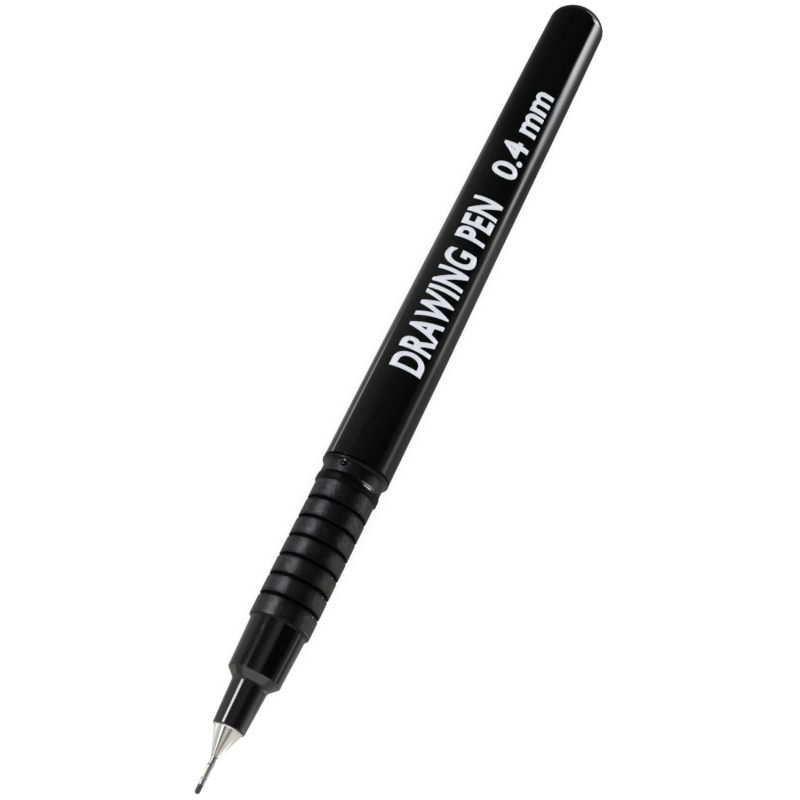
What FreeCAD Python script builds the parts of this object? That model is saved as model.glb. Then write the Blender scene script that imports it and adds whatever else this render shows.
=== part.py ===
import FreeCAD, Part
import math
import os
import Sketcher
from FreeCAD import Placement, Rotation, Vector

# Fibre-tip drawing pen with a metal-clad point, cap off.
# Frame: millimetres. +X runs along the pen's axis from the writing point to the
# closed rear end, the origin is the very tip of the nib, and the marked side of
# the barrel faces +Z. Front means towards -X, rear towards +X.
#
# The barrel holds the ink reservoir and its film. All other pieces form the front
# side, which plugs into the barrel's mouth and pulls out along -X.

# ------------------------------------------------------------------ dimensions
# Columns: alias, value or formula, meaning. Names ending in _x are distances from
# the nib's tip along the axis; names ending in _rad are radii.
DIMENSIONS = [
    # writing nib
    ("nib_rad", 0.38, "radius of the capillary rod"),
    ("nib_round_x", "=nib_rad", "end of the rounded writing end"),
    ("nib_end_x", 20.0, "rear end of the rod, inside the relay wick"),
    # tip tube
    ("tube_front_x", 1.25, "front end of the metal tube"),
    ("tube_crimp_x", 2.22, "end of the crimped front"),
    ("tube_full_x", 2.3, "start of the tube's wide front"),
    ("tube_wide_end_x", 4.2, "end of the wide front"),
    ("tube_neck_x", 4.28, "start of the slimmer rear"),
    ("tube_end_x", 15.0, "rear end of the tube"),
    ("tube_crimp_rad", 0.43, "radius of the crimped front"),
    ("tube_wide_rad", 0.49, "radius of the wide front"),
    ("tube_rad", 0.45, "radius of the slimmer rear"),
    ("tube_bore_rad", 0.39, "bore of the tube"),
    # tip cone
    ("cone_front_x", 5.5, "small end of the cone"),
    ("cone_inner_x", 6.31, "start of the inner taper"),
    ("cone_rim_x", 9.5, "foot of the flared rim"),
    ("cone_seat_x", 9.64, "big end, seated on the nose"),
    ("cone_shank_x", 13.5, "end of the pressed shank"),
    ("cone_small_rad", 0.56, "radius of the small end"),
    ("cone_rim_rad", 2.03, "radius at the foot of the rim"),
    ("cone_big_rad", 2.13, "radius of the big end"),
    ("cone_shank_rad", 1.85, "radius of the pressed shank"),
    ("cone_bore_rad", 1.55, "inside radius of the shank"),
    # nose piece
    ("nose_front_x", "=cone_seat_x", "front face of the nose"),
    ("nose_neck_x", 16.36, "end of the narrow nose"),
    ("nose_shoulder_x", 17.6, "end of the shoulder cone"),
    ("nose_back_x", 25.2, "rear face of the wide nose"),
    ("nose_spigot_x", 36.0, "end of the spigot inside the grip"),
    ("nose_bore_step_x", 18.0, "step in the nose bore"),
    ("nose_front_rad", 2.36, "radius at the front face"),
    ("nose_neck_rad", 2.67, "radius at the end of the narrow nose"),
    ("nose_shoulder_rad", 3.93, "radius after the shoulder"),
    ("nose_back_rad", 4.18, "radius at the rear of the wide nose"),
    ("nose_spigot_rad", 3.2, "radius of the spigot"),
    ("nose_bore_rad", "=cone_shank_rad", "front bore"),
    ("nose_wide_bore_rad", 2.5, "rear bore"),
    ("nose_edge_round", 0.22, "rounding of the front edge"),
    ("nose_shoulder_round", 0.15, "rounding of the shoulder edge"),
    ("nose_neck_round", 0.9, "rounding in the corner of the neck"),
    # nib holder
    ("holder_front_x", "=cone_shank_x", "front face of the holder"),
    ("holder_tube_x", "=tube_end_x", "end of the seat of the tube"),
    ("holder_wick_x", 17.5, "start of the wick bore"),
    ("holder_step_x", "=nose_bore_step_x", "shoulder of the holder"),
    ("holder_end_x", 28.0, "rear end of the holder"),
    ("holder_small_rad", "=nose_bore_rad", "front radius"),
    ("holder_big_rad", "=nose_wide_bore_rad", "rear radius"),
    ("holder_rod_rad", 0.40, "bore for the rod"),
    ("holder_slot_length", "=holder_end_x - holder_step_x", "length of the air slots"),
    ("holder_slot_bottom_rad", 2.2, "bottom of the air slots"),
    ("holder_slot_width", 0.7, "width of the air slots"),
    ("slot_outer_rad", 5.0, "outer reach of the slot cutters"),
    # relay wick
    ("wick_front_x", "=holder_wick_x", "front end of the wick"),
    ("wick_length", 58.5, "length of the wick"),
    ("wick_rad", 1.1, "radius of the wick"),
    ("wick_socket_rad", 0.39, "socket for the rod"),
    ("wick_socket_depth", 2.6, "depth of the socket"),
    # grip section: grip, flange ring and collar
    ("grip_front_x", "=nose_back_x", "front face of the grip"),
    ("grip_rad", 4.57, "radius of the grip rings"),
    ("grip_edge_round", 0.5, "rounding of the front edge"),
    ("grip_socket_rad", "=nose_spigot_rad", "bore for the nose spigot"),
    ("grip_bore_rad", 2.8, "bore behind the spigot"),
    ("flange_foot_x", 47.2, "foot of the flange ring"),
    ("flange_lip_x", 47.34, "top of the steep side"),
    ("flange_peak_x", 47.74, "end of the land on the flange ring"),
    ("flange_back_x", 48.6, "end of the flange's rounded rear"),
    ("flange_rad", 4.805, "radius of the flange ring"),
    ("flange_back_round", 1.6, "rounding of the flange's rear"),
    ("collar_rad", 4.63, "radius of the collar"),
    # grip section: rear bead
    ("bead_foot_x", 50.28, "end of the collar, foot of the rear bead"),
    ("bead_top_x", 50.72, "top of the bead"),
    ("bead_end_x", 51.0, "rear face of the bead, at the barrel's mouth"),
    ("bead_rad", 5.15, "radius of the bead"),
    ("bead_round", 0.38, "rounding of the bead's front"),
    ("bead_back_round", 0.12, "rounding of the bead's rear"),
    ("bead_side_x", "=bead_top_x - bead_round", "start of the front rounding"),
    ("bead_side_rad", "=bead_rad - bead_round", "radius at the start of the rounding"),
    ("bead_land_x", "=bead_end_x - bead_back_round", "start of the rear rounding"),
    ("bead_back_rad", "=bead_rad - bead_back_round", "radius of the bead's rear face"),
    # grip section: plug
    ("plug_lead_x", 63.5, "start of the plug's lead-in"),
    ("plug_end_x", 64.0, "rear end of the plug"),
    ("plug_rad", 4.1, "radius of the plug"),
    ("plug_lead_rad", 3.85, "radius at the end of the lead-in"),
    # grip section: grooves
    ("groove_centre_x", 28.56, "centre of the first groove"),
    ("groove_pitch", 3.102, "distance between grooves"),
    ("groove_count", 6, "number of grooves"),
    ("groove_span", "=groove_pitch * (groove_count - 1)", "first groove to last groove"),
    ("groove_mouth_half", 0.38, "half width at the outer reach of the cutter"),
    ("groove_throat_half", 0.27, "half width below the flared edge"),
    ("groove_floor_half", 0.21, "half width at the floor"),
    ("groove_top_rad", 4.62, "outer reach of the groove cutter"),
    ("groove_throat_rad", 4.49, "radius below the flared edge"),
    ("groove_floor_rad", 4.22, "radius of the groove floor"),
    # grip section: air slots in the plug
    ("vent_start_x", 52.0, "front end of the plug's air slots"),
    ("vent_length", "=plug_end_x - vent_start_x", "length of the air slots"),
    ("vent_bottom_rad", 3.8, "bottom of the air slots"),
    ("vent_width", 0.9, "width of the air slots"),
    ("vent_count", 4, "number of air slots, in the plug and in the nib holder"),
    # grip section: snap bumps
    ("snap_x", 49.82, "station of the snap bumps"),
    ("snap_ball_rad", 0.57, "radius of the snap bumps' ball"),
    ("snap_seat_rad", 4.28, "distance of the balls' centres from the axis"),
    ("snap_count", 2, "number of snap bumps"),
    ("snap_angle", 27.0, "angle of the snap bumps from the marked side"),
    # barrel: mouth
    ("mouth_x", 51.02, "plane of the barrel's mouth"),
    ("mouth_rad", 5.13, "radius behind the rounded lip"),
    ("mouth_round", 0.13, "rounding of the mouth's lip"),
    ("mouth_round_x", "=mouth_x + mouth_round", "end of the lip's rounding"),
    ("mouth_face_rad", "=mouth_rad - mouth_round", "radius where the flat face ends"),
    ("lip_end_x", 52.3, "end of the slightly proud lip"),
    ("lip_end_rad", 5.105, "radius behind the lip"),
    # barrel: crowned taper
    ("taper_a_x", 60.0, "first station of the crowned taper"),
    ("taper_a_rad", 5.075, "radius at the first station"),
    ("taper_b_x", 70.0, "second station"),
    ("taper_b_rad", 5.01, "radius at the second station"),
    ("taper_c_x", 90.0, "third station"),
    ("taper_c_rad", 4.81, "radius at the third station"),
    ("taper_d_x", 110.0, "fourth station"),
    ("taper_d_rad", 4.665, "radius at the fourth station"),
    ("taper_e_x", 124.0, "fifth station"),
    ("taper_e_rad", 4.55, "radius at the fifth station"),
    # barrel: rear dome
    ("dome_start_x", 134.75, "start of the rear dome"),
    ("dome_start_rad", 4.405, "radius at the start of the dome"),
    ("pen_end_x", 137.55, "rear end of the pen"),
    ("dome_depth", "=pen_end_x - dome_start_x", "length of the dome along the axis"),
    ("dome_ball_rad", "=(dome_depth * dome_depth + dome_start_rad * dome_start_rad)"
     " / (2 * dome_depth)", "radius of the dome's sphere"),
    ("dome_edge_round", 2.5, "rounding where the dome meets the barrel"),
    # barrel: bore and reservoir well
    ("bore_rad", 4.14, "bore that takes the plug"),
    ("bore_step_x", 65.0, "end of the plug bore"),
    ("well_x", 65.6, "start of the reservoir well"),
    ("well_rad", 3.98, "well radius at its front"),
    ("well_end_x", 133.1, "end of the well's tapered wall"),
    ("well_end_rad", 3.52, "well radius at its end"),
    ("well_bottom_x", 136.6, "bottom of the well"),
    ("well_depth", "=well_bottom_x - well_end_x", "length of the domed bottom"),
    ("well_ball_rad", "=(well_depth * well_depth + well_end_rad * well_end_rad)"
     " / (2 * well_depth)", "radius of the domed bottom's sphere"),
    # barrel: ribs and stops
    ("rib_start_x", 66.5, "front end of the inner ribs"),
    ("rib_length", 64.0, "length of the inner ribs"),
    ("rib_inner_rad", 3.55, "inner radius of the ribs"),
    ("rib_width", 0.6, "width of the ribs and the stops"),
    ("rib_count", 6, "number of inner ribs, and of stops"),
    ("stop_start_x", 130.0, "front of the reservoir stops"),
    ("stop_length", 4.6, "length of the reservoir stops"),
    ("stop_inner_rad", 2.4, "inner radius of the stops"),
    # reservoir
    ("core_front_x", 66.2, "front face of the fibre core"),
    ("core_length", 63.4, "length of the fibre core"),
    ("core_rad", 3.4, "radius of the fibre core"),
    ("core_socket_rad", 1.16, "socket for the relay wick"),
    ("core_socket_depth", 10.6, "depth of the socket"),
    ("film_front_x", 66.0, "front end of the film sleeve"),
    ("film_length", 63.8, "length of the film sleeve"),
    ("film_rad", 3.5, "outside radius of the film sleeve"),
]

# Side of a profile arc's chord it bulges to, seen along the way round the outline.
LEFT, RIGHT = 1, -1

MATCH = 1e-4        # mm, tolerance for finding a circular edge
MIN_CHANGE = 1e-4   # mm3, least volume a feature has to add or remove


def fill_sheet():
    """Write the driving dimensions and return their evaluated values by alias."""
    sheet = doc.addObject("Spreadsheet::Sheet", "Dimensions")
    for column, title in zip("ABC", ("name", "value", "meaning")):
        sheet.set(column + "1", title)
    for row, (alias, value, meaning) in enumerate(DIMENSIONS, start=2):
        sheet.set(f"A{row}", alias)
        sheet.set(f"B{row}", str(value))
        sheet.set(f"C{row}", meaning)
        sheet.setAlias(f"B{row}", alias)
    doc.recompute()
    return {alias: float(sheet.get(alias)) for alias, _, _ in DIMENSIONS}


doc = FreeCAD.newDocument("drawing_pen")
size = fill_sheet()


# -------------------------------------------------------------------- binding
def cell(alias):
    return "Dimensions." + alias


def bind(feature, prop, alias):
    """Set a property from a dimension and keep it bound to the cell."""
    setattr(feature, prop, size[alias])
    feature.setExpression(prop, cell(alias))


def bind_count(pattern, alias):
    pattern.Occurrences = int(size[alias])
    pattern.setExpression("Occurrences", cell(alias))


def measure(place):
    """Value and expression of a coordinate: an alias, a ready pair, or None for 0."""
    if place is None:
        return 0.0, None
    if isinstance(place, str):
        return size[place], cell(place)
    return place


def constrain(sketch, kind, elements, place):
    """Add a driving constraint that is bound to the spreadsheet."""
    value, expression = measure(place)
    number = sketch.addConstraint(Sketcher.Constraint(kind, *elements, value))
    sketch.setExpression(f"Constraints[{number}]", expression)


# ------------------------------------------------------------------- sketches
def new_body(name):
    return doc.addObject("PartDesign::Body", name)


def new_sketch(body, name, role, offset_alias=None):
    """Sketch on the body's origin plane of this role, moved along its normal."""
    plane = next(item for item in body.Origin.OriginFeatures if item.Role == role)
    sketch = body.newObject("Sketcher::SketchObject", name)
    sketch.AttachmentSupport = [(plane, "")]
    sketch.MapMode = "FlatFace"
    if offset_alias:
        sketch.AttachmentOffset = Placement(Vector(0, 0, size[offset_alias]), Rotation())
        sketch.setExpression("AttachmentOffset.Base.z", cell(offset_alias))
    return sketch


def pin_point(sketch, geometry, end, station, radius):
    """Fix one vertex by its station and radius; None puts it on the sketch's axis."""
    for kind, place, axis in (("DistanceX", station, -2), ("DistanceY", radius, -1)):
        if place is None:
            sketch.addConstraint(Sketcher.Constraint("PointOnObject", geometry, end, axis))
        else:
            constrain(sketch, kind, (-1, 1, geometry, end), place)


def add_arc(sketch, start, end, radius, bulge):
    """Add the minor arc; returns its number and its end numbers in outline order."""
    chord = end - start
    normal = Vector(-chord.y, chord.x, 0).normalize() * bulge
    height = math.sqrt(max(radius ** 2 - chord.Length ** 2 / 4.0, 0.0))
    centre = (start + end) * 0.5 - normal * height
    start_angle = math.atan2(start.y - centre.y, start.x - centre.x)
    end_angle = math.atan2(end.y - centre.y, end.x - centre.x)
    circle = Part.Circle(centre, Vector(0, 0, 1), radius)
    if bulge == LEFT:
        # The outline runs clockwise here, so the arc is stored from end to start.
        return sketch.addGeometry(Part.ArcOfCircle(circle, end_angle, start_angle)), 2, 1
    return sketch.addGeometry(Part.ArcOfCircle(circle, start_angle, end_angle)), 1, 2


def outline_sketch(body, name, points):
    """Closed outline in the XY plane. A point is (station, radius) and may have a third
    entry (radius alias, bulge) that makes the side to the next point an arc."""
    sketch = new_sketch(body, name, "XY_Plane")
    vertices = [Vector(measure(point[0])[0], measure(point[1])[0], 0) for point in points]
    sides = []
    for i, point in enumerate(points):
        start, end = vertices[i], vertices[(i + 1) % len(points)]
        if len(point) == 3:
            alias, bulge = point[2]
            sides.append(add_arc(sketch, start, end, size[alias], bulge))
        else:
            sides.append((sketch.addGeometry(Part.LineSegment(start, end)), 1, 2))
    for i, (geometry, _, last) in enumerate(sides):
        following, following_first, _ = sides[(i + 1) % len(sides)]
        sketch.addConstraint(Sketcher.Constraint(
            "Coincident", geometry, last, following, following_first))
    for (geometry, first, _), point in zip(sides, points):
        pin_point(sketch, geometry, first, point[0], point[1])
    for (geometry, _, _), point in zip(sides, points):
        if len(point) == 3:
            constrain(sketch, "Radius", (geometry,), point[2][0])
    return sketch


def draw_rectangle(sketch, inner_alias, outer_alias, width_alias):
    """Rectangle centred on the sketch's vertical axis, between two radii."""
    half = size[width_alias] / 2.0
    low, high = size[inner_alias], size[outer_alias]
    corners = [Vector(-half, low, 0), Vector(half, low, 0),
               Vector(half, high, 0), Vector(-half, high, 0)]
    for i in range(4):
        sketch.addGeometry(Part.LineSegment(corners[i], corners[(i + 1) % 4]))
    for i in range(4):
        sketch.addConstraint(Sketcher.Constraint("Coincident", i, 2, (i + 1) % 4, 1))
    sketch.addConstraint(Sketcher.Constraint("Horizontal", 2))
    sketch.addConstraint(Sketcher.Constraint("Vertical", 1))
    sketch.addConstraint(Sketcher.Constraint("Vertical", 3))
    sketch.addConstraint(Sketcher.Constraint("Symmetric", 0, 1, 0, 2, -2))
    constrain(sketch, "DistanceX", (0, 1, 0, 2), width_alias)
    constrain(sketch, "DistanceY", (-1, 1, 0, 2), inner_alias)
    constrain(sketch, "DistanceY", (-1, 1, 1, 2), outer_alias)


# ------------------------------------------------------------------- features
def spin(body, kind, name, sketch):
    """Full turn of a sketch about the pen's axis; kind is Revolution or Groove."""
    feature = body.newObject("PartDesign::" + kind, name)
    feature.Profile = sketch
    feature.ReferenceAxis = (sketch, ["H_Axis"])
    feature.Angle = 360.0
    doc.recompute()
    return feature


def revolve(body, name, points):
    return spin(body, "Revolution", name, outline_sketch(body, name + "_profile", points))


def ring_edge(feature, station, radius):
    """Name of the circular edge of this radius at this station."""
    for number, edge in enumerate(feature.Shape.Edges, start=1):
        curve = edge.Curve
        if (isinstance(curve, Part.Circle) and abs(curve.Radius - radius) < MATCH
                and abs(curve.Center.x - station) < MATCH):
            return f"Edge{number}"
    raise RuntimeError(f"no edge at {station} {radius}")


def round_ring(body, name, base, x_alias, rad_alias, round_alias):
    feature = body.newObject("PartDesign::Fillet", name)
    feature.Base = (base, [ring_edge(base, size[x_alias], size[rad_alias])])
    bind(feature, "Radius", round_alias)
    doc.recompute()
    return feature


def polar(body, name, original, sketch, count_alias):
    """Repeat a feature evenly round the pen's axis, the normal of the sketch."""
    pattern = body.newObject("PartDesign::PolarPattern", name)
    pattern.Originals = [original]
    pattern.Axis = (sketch, ["N_Axis"])
    pattern.Angle = 360.0
    bind_count(pattern, count_alias)
    body.Tip = pattern
    doc.recompute()


def must_change(body, before, grows):
    """Stop if the last feature left the volume as it was."""
    moved = body.Shape.Volume - before
    if (moved if grows else -moved) <= MIN_CHANGE:
        raise RuntimeError(f"{body.Tip.Label} changed nothing in {body.Label}")


def radial_bars(body, kind, names, plane_alias, length_alias, section, count_alias):
    """Ring of straight bars along the axis. A Pad adds them rearwards from the plane,
    a Pocket cuts them forwards. names: outline, single bar, pattern; section: aliases
    of the inner radius, outer radius and width. Returns the outline sketch."""
    before = body.Shape.Volume
    outline_name, bar_name, pattern_name = names
    sketch = new_sketch(body, outline_name, "YZ_Plane", plane_alias)
    draw_rectangle(sketch, *section)
    bar = body.newObject("PartDesign::" + kind, bar_name)
    bar.Profile = sketch
    bind(bar, "Length", length_alias)
    doc.recompute()
    polar(body, pattern_name, bar, sketch, count_alias)
    must_change(body, before, grows=(kind == "Pad"))
    return sketch


def turned(body):
    """Turn the piece about the pen's axis by the angle of the snap bumps."""
    body.Placement = Placement(
        Vector(0, 0, 0), Rotation(Vector(1, 0, 0), -size["snap_angle"]))
    body.setExpression("Placement.Rotation.Angle", "-1 deg * " + cell("snap_angle"))
    return body


def lying_cylinder(name, x_alias, length_alias, rad_alias):
    rod = doc.addObject("Part::Cylinder", name)
    rod.Placement = Placement(Vector(size[x_alias], 0, 0), Rotation(Vector(0, 1, 0), 90))
    bind(rod, "Radius", rad_alias)
    bind(rod, "Height", length_alias)
    rod.setExpression("Placement.Base.x", cell(x_alias))
    return rod


def bored_rod(name, outside, inside):
    """One lying cylinder cut out of another; each is given by its name and aliases."""
    feature = doc.addObject("Part::Cut", name)
    feature.Base = lying_cylinder(*outside)
    feature.Tool = lying_cylinder(*inside)
    return feature


# --------------------------------------------------------------------- pieces
def make_nib():
    """Plastic capillary rod; its rounded end writes."""
    body = new_body("writing_nib")
    revolve(body, "nib_rod", [
        (None, None, ("nib_rad", LEFT)),
        ("nib_round_x", "nib_rad"),
        ("nib_end_x", "nib_rad"),
        ("nib_end_x", None),
    ])
    return turned(body)


def make_tube():
    """Thin metal tube round the rod, drawn down at its mouth, a little wider in front."""
    body = new_body("tip_tube")
    revolve(body, "tube_wall", [
        ("tube_front_x", "tube_bore_rad"),
        ("tube_front_x", "tube_crimp_rad"),
        ("tube_crimp_x", "tube_crimp_rad"),
        ("tube_full_x", "tube_wide_rad"),
        ("tube_wide_end_x", "tube_wide_rad"),
        ("tube_neck_x", "tube_rad"),
        ("tube_end_x", "tube_rad"),
        ("tube_end_x", "tube_bore_rad"),
    ])
    return turned(body)


def make_cone():
    """Metal cone that carries the tube, pressed into the nose on its shank."""
    body = new_body("tip_cone")
    revolve(body, "cone_wall", [
        ("cone_front_x", "tube_rad"),
        ("cone_front_x", "cone_small_rad"),
        ("cone_rim_x", "cone_rim_rad"),
        ("cone_seat_x", "cone_big_rad"),
        ("cone_seat_x", "cone_shank_rad"),
        ("cone_shank_x", "cone_shank_rad"),
        ("cone_shank_x", "cone_bore_rad"),
        ("cone_seat_x", "cone_bore_rad"),
        ("cone_inner_x", "tube_rad"),
    ])
    return turned(body)


def make_nose():
    """Glossy moulding: narrow nose, shoulder, wide nose and the spigot in the grip."""
    body = new_body("nose_piece")
    shell = revolve(body, "nose_wall", [
        ("nose_front_x", "nose_bore_rad"),
        ("nose_front_x", "nose_front_rad"),
        ("nose_neck_x", "nose_neck_rad"),
        ("nose_shoulder_x", "nose_shoulder_rad"),
        ("nose_back_x", "nose_back_rad"),
        ("nose_back_x", "nose_spigot_rad"),
        ("nose_spigot_x", "nose_spigot_rad"),
        ("nose_spigot_x", "nose_wide_bore_rad"),
        ("nose_bore_step_x", "nose_wide_bore_rad"),
        ("nose_bore_step_x", "nose_bore_rad"),
    ])
    for name, x_alias, rad_alias, round_alias in (
            ("nose_front_round", "nose_front_x", "nose_front_rad", "nose_edge_round"),
            ("nose_shoulder_soft", "nose_shoulder_x", "nose_shoulder_rad",
             "nose_shoulder_round"),
            ("nose_neck_soft", "nose_neck_x", "nose_neck_rad", "nose_neck_round")):
        shell = round_ring(body, name, shell, x_alias, rad_alias, round_alias)
    return turned(body)


def make_holder():
    """Bush inside the nose: it centres the tube's tail and holds the relay wick."""
    body = new_body("nib_holder")
    revolve(body, "holder_wall", [
        ("holder_front_x", "tube_rad"),
        ("holder_front_x", "holder_small_rad"),
        ("holder_step_x", "holder_small_rad"),
        ("holder_step_x", "holder_big_rad"),
        ("holder_end_x", "holder_big_rad"),
        ("holder_end_x", "wick_rad"),
        ("holder_wick_x", "wick_rad"),
        ("holder_wick_x", "holder_rod_rad"),
        ("holder_tube_x", "holder_rod_rad"),
        ("holder_tube_x", "tube_rad"),
    ])
    radial_bars(body, "Pocket", ("holder_slot_outline", "holder_slot", "holder_slots"),
                "holder_end_x", "holder_slot_length",
                ("holder_slot_bottom_rad", "slot_outer_rad", "holder_slot_width"),
                "vent_count")
    return turned(body)


def groove_side(half_alias, side):
    """Station on the front (-1) or rear (1) flank of the first groove."""
    sign = "+" if side > 0 else "-"
    return (size["groove_centre_x"] + side * size[half_alias],
            f"{cell('groove_centre_x')} {sign} {cell(half_alias)}")


def cut_grooves(body):
    """Row of ring grooves along the grip."""
    before = body.Shape.Volume
    sketch = outline_sketch(body, "groove_outline", [
        (groove_side("groove_mouth_half", -1), "groove_top_rad"),
        (groove_side("groove_throat_half", -1), "groove_throat_rad"),
        (groove_side("groove_floor_half", -1), "groove_floor_rad"),
        (groove_side("groove_floor_half", 1), "groove_floor_rad"),
        (groove_side("groove_throat_half", 1), "groove_throat_rad"),
        (groove_side("groove_mouth_half", 1), "groove_top_rad"),
    ])
    groove = spin(body, "Groove", "grip_groove", sketch)
    one_groove = before - body.Shape.Volume
    pattern = body.newObject("PartDesign::LinearPattern", "grip_grooves")
    pattern.Originals = [groove]
    pattern.Direction = (sketch, ["H_Axis"])
    bind(pattern, "Length", "groove_span")
    bind_count(pattern, "groove_count")
    body.Tip = pattern
    doc.recompute()
    cut_count = (before - body.Shape.Volume) / one_groove
    if abs(cut_count - size["groove_count"]) > 0.01:
        raise RuntimeError("the grip doesn't have all its grooves")


def add_snap_bumps(body, axis_sketch):
    """Balls half sunk in the collar, spread round the normal of axis_sketch."""
    before = body.Shape.Volume
    ball = body.newObject("PartDesign::AdditiveSphere", "snap_bump")
    bind(ball, "Radius", "snap_ball_rad")
    ball.Placement = Placement(Vector(size["snap_x"], 0, size["snap_seat_rad"]), Rotation())
    ball.setExpression("Placement.Base.x", cell("snap_x"))
    ball.setExpression("Placement.Base.z", cell("snap_seat_rad"))
    doc.recompute()
    polar(body, "snap_bumps", ball, axis_sketch, "snap_count")
    must_change(body, before, grows=True)


def make_grip():
    """Satin moulding: ribbed grip, flange ring, collar with snap bumps, rear bead at
    the barrel's mouth, and the plug."""
    body = new_body("grip_section")
    shell = revolve(body, "grip_wall", [
        ("grip_front_x", "grip_socket_rad"),
        ("grip_front_x", "grip_rad"),
        ("flange_foot_x", "grip_rad"),
        ("flange_lip_x", "flange_rad"),
        ("flange_peak_x", "flange_rad", ("flange_back_round", LEFT)),
        ("flange_back_x", "collar_rad"),
        ("bead_foot_x", "collar_rad"),
        ("bead_side_x", "bead_side_rad", ("bead_round", LEFT)),
        ("bead_top_x", "bead_rad"),
        ("bead_land_x", "bead_rad", ("bead_back_round", LEFT)),
        ("bead_end_x", "bead_back_rad"),
        ("bead_end_x", "plug_rad"),
        ("plug_lead_x", "plug_rad"),
        ("plug_end_x", "plug_lead_rad"),
        ("plug_end_x", "grip_bore_rad"),
        ("nose_spigot_x", "grip_bore_rad"),
        ("nose_spigot_x", "grip_socket_rad"),
    ])
    round_ring(body, "grip_front_round", shell,
               "grip_front_x", "grip_rad", "grip_edge_round")
    cut_grooves(body)
    vent_sketch = radial_bars(
        body, "Pocket", ("vent_outline", "plug_vent", "plug_vents"),
        "plug_end_x", "vent_length",
        ("vent_bottom_rad", "slot_outer_rad", "vent_width"), "vent_count")
    add_snap_bumps(body, vent_sketch)
    return turned(body)


def make_wick():
    """Bonded-fibre rod that carries ink from the reservoir to the nib's rod."""
    return bored_rod(
        "relay_wick",
        ("wick_rod", "wick_front_x", "wick_length", "wick_rad"),
        ("wick_socket", "wick_front_x", "wick_socket_depth", "wick_socket_rad"))


def make_core():
    """Bundle of ink-filled fibre with a socket for the wick."""
    return bored_rod(
        "ink_reservoir",
        ("core_rod", "core_front_x", "core_length", "core_rad"),
        ("core_socket", "core_front_x", "core_socket_depth", "core_socket_rad"))


def make_film():
    """Thin film sleeve round the fibre bundle."""
    return bored_rod(
        "reservoir_film",
        ("film_outside", "film_front_x", "film_length", "film_rad"),
        ("film_inside", "film_front_x", "film_length", "core_rad"))


def make_barrel():
    """One-piece tapered tube with a domed, closed rear end and ribs inside."""
    body = new_body("barrel")
    shell = revolve(body, "barrel_wall", [
        ("mouth_x", "bore_rad"),
        ("mouth_x", "mouth_face_rad", ("mouth_round", LEFT)),
        ("mouth_round_x", "mouth_rad"),
        ("lip_end_x", "lip_end_rad"),
        ("taper_a_x", "taper_a_rad"),
        ("taper_b_x", "taper_b_rad"),
        ("taper_c_x", "taper_c_rad"),
        ("taper_d_x", "taper_d_rad"),
        ("taper_e_x", "taper_e_rad"),
        ("dome_start_x", "dome_start_rad", ("dome_ball_rad", LEFT)),
        ("pen_end_x", None),
        ("well_bottom_x", None, ("well_ball_rad", RIGHT)),
        ("well_end_x", "well_end_rad"),
        ("well_x", "well_rad"),
        ("bore_step_x", "bore_rad"),
    ])
    round_ring(body, "dome_edge_soft", shell,
               "dome_start_x", "dome_start_rad", "dome_edge_round")
    radial_bars(body, "Pad", ("rib_outline", "inner_rib", "inner_ribs"),
                "rib_start_x", "rib_length",
                ("rib_inner_rad", "bore_rad", "rib_width"), "rib_count")
    radial_bars(body, "Pad", ("stop_outline", "reservoir_stop", "reservoir_stops"),
                "stop_start_x", "stop_length",
                ("stop_inner_rad", "core_rad", "rib_width"), "rib_count")
    return turned(body)


# --------------------------------------------------------------------- output
pieces = [make() for make in (
    make_nib, make_tube, make_cone, make_nose, make_holder,
    make_grip, make_wick, make_core, make_film, make_barrel)]
doc.recompute()

for item in doc.Objects:
    if "Invalid" in item.State or "Error" in item.State:
        raise RuntimeError(f"{item.Label} is in state {item.State}")
for piece in pieces:
    if piece.Shape.isNull() or not piece.Shape.isValid():
        raise RuntimeError(f"{piece.Label} has no valid shape")
    if len(piece.Shape.Solids) != 1:
        raise RuntimeError(f"{piece.Label} has {len(piece.Shape.Solids)} solids")

os.makedirs("parts", exist_ok=True)
for piece in pieces:
    piece.Shape.exportStep(f"parts/{piece.Label}.step")
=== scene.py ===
"""Looks, floor, light and camera for a drawing pen.

The pen lies along X with its point near x = 0 and its rear end towards +X. Its axis is
y = z = 0, and the printed side faces up, +Z. Sizes are in millimetres unless they say
metres. A "turn" is an angle round the axis in degrees: 0 at the top, positive towards -Y.
"""
import math
from types import SimpleNamespace

import bmesh
import bpy
from mathutils import Matrix, Vector


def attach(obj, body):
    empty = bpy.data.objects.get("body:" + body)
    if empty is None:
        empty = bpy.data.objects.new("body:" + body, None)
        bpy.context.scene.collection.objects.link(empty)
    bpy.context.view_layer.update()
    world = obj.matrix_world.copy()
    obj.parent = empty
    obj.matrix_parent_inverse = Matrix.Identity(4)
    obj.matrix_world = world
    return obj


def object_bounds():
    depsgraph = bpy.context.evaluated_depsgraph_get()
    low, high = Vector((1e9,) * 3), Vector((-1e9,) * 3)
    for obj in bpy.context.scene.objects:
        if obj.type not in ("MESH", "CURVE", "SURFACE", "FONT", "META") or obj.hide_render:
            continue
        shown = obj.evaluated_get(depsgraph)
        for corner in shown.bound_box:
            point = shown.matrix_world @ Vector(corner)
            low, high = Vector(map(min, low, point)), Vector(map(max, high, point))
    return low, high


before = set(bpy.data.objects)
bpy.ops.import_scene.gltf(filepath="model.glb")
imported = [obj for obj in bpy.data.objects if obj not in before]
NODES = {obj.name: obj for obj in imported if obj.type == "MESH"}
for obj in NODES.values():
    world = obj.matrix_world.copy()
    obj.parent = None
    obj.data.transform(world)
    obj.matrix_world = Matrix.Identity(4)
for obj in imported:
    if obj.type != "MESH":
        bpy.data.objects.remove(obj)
cad_low, cad_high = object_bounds()
MM = 0.001
WHITE = (1.0, 1.0, 1.0)

scene = bpy.context.scene


def add_object(name, data):
    obj = bpy.data.objects.new(name, data)
    scene.collection.objects.link(obj)
    return obj


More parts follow.
